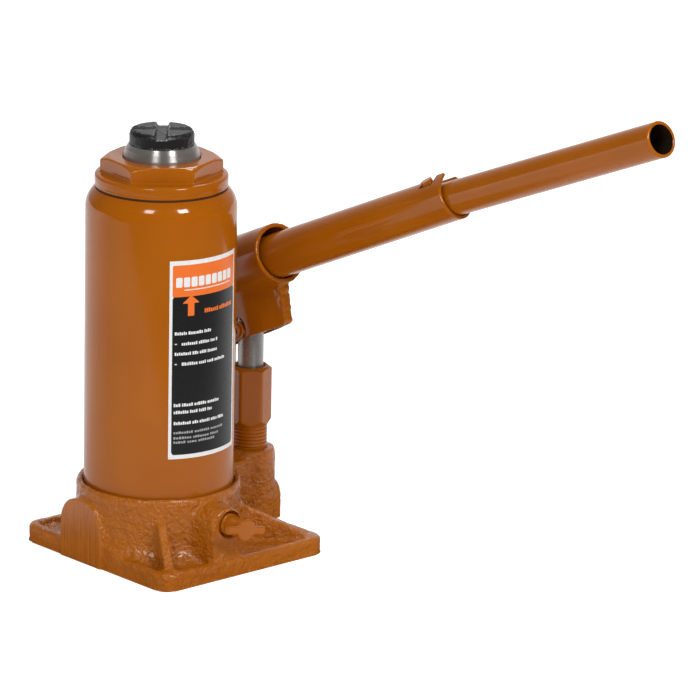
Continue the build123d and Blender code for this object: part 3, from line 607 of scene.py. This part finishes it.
# the brightness of the dim room that the gloss mirrors, from 0 behind the jack to 1 at the camera
ROOM = ((0.0, 0.85), (0.05, 0.55), (0.10, 0.38), (0.25, 0.06), (0.60, 0.01), (1.0, 0.0))
WORLD_FILL = (0.46, 0.46, 0.46)
WHITE, BLACK = (1.0, 1.0, 1.0), (0.0, 0.0, 0.0)

# how strongly the floor glows to the camera and to matt surfaces
FLOOR_SEEN, FLOOR_FILL = 0.55, 0.14


def camera():
    """A long lens, a little above the jack, aimed to the right of the bottle's axis."""
    distance, aim_right, aim_up = 2.7714, 0.093583, 0.105367
    back = cos(CAMERA_RISE) * VIEW_NEAR + Vector((0, 0, sin(CAMERA_RISE)))
    up = back.cross(VIEW_RIGHT)
    tilted_right = cos(CAMERA_ROLL) * VIEW_RIGHT - sin(CAMERA_ROLL) * up
    tilted_up = sin(CAMERA_ROLL) * VIEW_RIGHT + cos(CAMERA_ROLL) * up
    data = bpy.data.cameras.new("camera")
    data.lens, data.sensor_width = 289.5, 36.0
    data.clip_start, data.clip_end = 0.1, 20.0
    eye = bpy.data.objects.new("camera", data)
    turn = Matrix((tilted_right, tilted_up, back)).transposed().to_4x4()
    target = aim_right * VIEW_RIGHT + Vector((0, 0, aim_up))
    eye.matrix_world = Matrix.Translation(target + back * distance) @ turn
    bpy.context.scene.collection.objects.link(eye)
    bpy.context.scene.camera = eye


def softbox(name, turn, height, width, tall, radiance):
    """A rectangular lamp, placed by its turn to the right of the camera and its height, in degrees."""
    flat = cos(radians(turn)) * VIEW_NEAR + sin(radians(turn)) * VIEW_RIGHT
    direction = cos(radians(height)) * flat + Vector((0, 0, sin(radians(height))))
    data = bpy.data.lights.new(name, "AREA")
    data.shape = "RECTANGLE"
    data.size, data.size_y = width, tall
    data.energy = radiance * pi * width * tall
    lamp = bpy.data.objects.new(name, data)
    lamp.location = LAMP_AIM + direction * LAMP_DISTANCE
    lamp.rotation_euler = direction.to_track_quat("Z", "Y").to_euler()
    bpy.context.scene.collection.objects.link(lamp)


def studio_world():
    """White to the camera, an even fill to matt surfaces, and a room brighter at the back to gloss."""
    world = bpy.data.worlds.new("studio")
    world.use_nodes = True
    sky = Nodes(world.node_tree)
    direction = sky.add("ShaderNodeTexCoord").outputs["Generated"]
    towards = sky.math("ADD", sky.math("MULTIPLY", sky.along(direction, VIEW_NEAR), 0.5), 0.5)
    room = sky.ramp(towards, *ROOM)
    path = sky.add("ShaderNodeLightPath")
    seen = sky.mix(path.outputs["Is Glossy Ray"], WORLD_FILL, room)
    seen = sky.mix(path.outputs["Is Camera Ray"], seen, WHITE)
    lamp = sky.add("ShaderNodeBackground")
    output = sky.add("ShaderNodeOutputWorld")
    sky.link(seen, lamp.inputs["Color"])
    sky.link(lamp.outputs["Background"], output.inputs["Surface"])
    bpy.context.scene.world = world


def studio():
    """Two lamps in front, one behind, and the world."""
    softbox("left_lamp", -20, 40, 0.50, 0.56, 13.0)
    softbox("right_lamp", 39, 40, 0.50, 0.56, 23.0)
    softbox("back_lamp", 172, 52, 0.80, 0.60, 7.0)
    studio_world()
    bpy.context.scene.view_settings.view_transform = "Standard"


def around(look, centre, *stops):
    """A ramp over the distance from a point on the floor."""
    offset = look.add("ShaderNodeVectorMath", operation="DISTANCE")
    look.link(look.place, offset.inputs[0])
    offset.inputs[1].default_value = centre
    return look.ramp(offset.outputs["Value"], *stops)


def floor():
    """A white sheet, which to gloss glows as a painted reflection of a table, bright on the left and behind,
    with painted shadows dark round the foot and the pump.
    """
    mesh = bpy.data.meshes.new("floor")
    build = bmesh.new()
    bmesh.ops.create_grid(build, x_segments=8, y_segments=8, size=6)
    build.to_mesh(mesh)
    build.free()
    sheet = new_object("floor", mesh)
    look = Shader("floor_sheet", Roughness=0.8, Specular_IOR_Level=0.2)
    path = look.add("ShaderNodeLightPath")
    # painted reflection: the brightness of a table, which only gloss sees
    reach = look.math("ADD", look.along(look.place, VIEW_NEAR), 0.4)
    near = look.ramp(reach, (0.20, 0.95), (0.50, 0.50), (0.86, 0.40), (0.90, 0.0))
    aside = look.ramp(look.along(look.place, VIEW_RIGHT + VIEW_NEAR), (0.30, 1.0), (0.45, 0.12))
    # painted shadow: dark to gloss round the pump's foot
    behind = around(look, 0.03 * VIEW_RIGHT - 0.07 * VIEW_NEAR, (0.06, 0.02), (0.11, 1.0))
    # painted shadow: dark to gloss round the base's foot
    foot = around(look, Vector((0.01, 0, 0)), (0.085, 0.05), (0.125, 1.0))
    mirrored = look.math("MULTIPLY", look.math("MULTIPLY", near, aside), look.math("MULTIPLY", behind, foot))
    pale = look.spread(look.noise(3, 2), 0.88, 0.90)
    look.feed("Base Color", look.mix(path.outputs["Is Glossy Ray"], pale, BLACK))
    white = look.math("MULTIPLY", path.outputs["Is Camera Ray"], FLOOR_SEEN)
    fill = look.math("MULTIPLY", path.outputs["Is Diffuse Ray"], FLOOR_FILL)
    table = look.math("MULTIPLY", path.outputs["Is Glossy Ray"], mirrored)
    look.feed("Emission Strength", look.math("ADD", look.math("ADD", white, fill), table))
    look.bsdf.inputs["Emission Color"].default_value = (*WHITE, 1.0)
    mesh.materials.append(look.material)


finishes = paint_nodes()
cast_base(finishes["cast_paint"])
welded_socket(finishes["lever_paint"])
enamel, iron = finishes["gloss_paint"], finishes["black_iron"]
softened("top_nut", "painted_nut", "base", enamel, voxel=0.5, rounds=3, lumps=0.03)
softened("saddle", "forged_saddle", "extension_screw", iron, voxel=0.35, rounds=2, lumps=0.10)
softened("release_valve", "painted_valve", "release_valve", enamel, voxel=0.4, rounds=3,
         lumps=0.04)
printed_label()
camera()
studio()
floor()
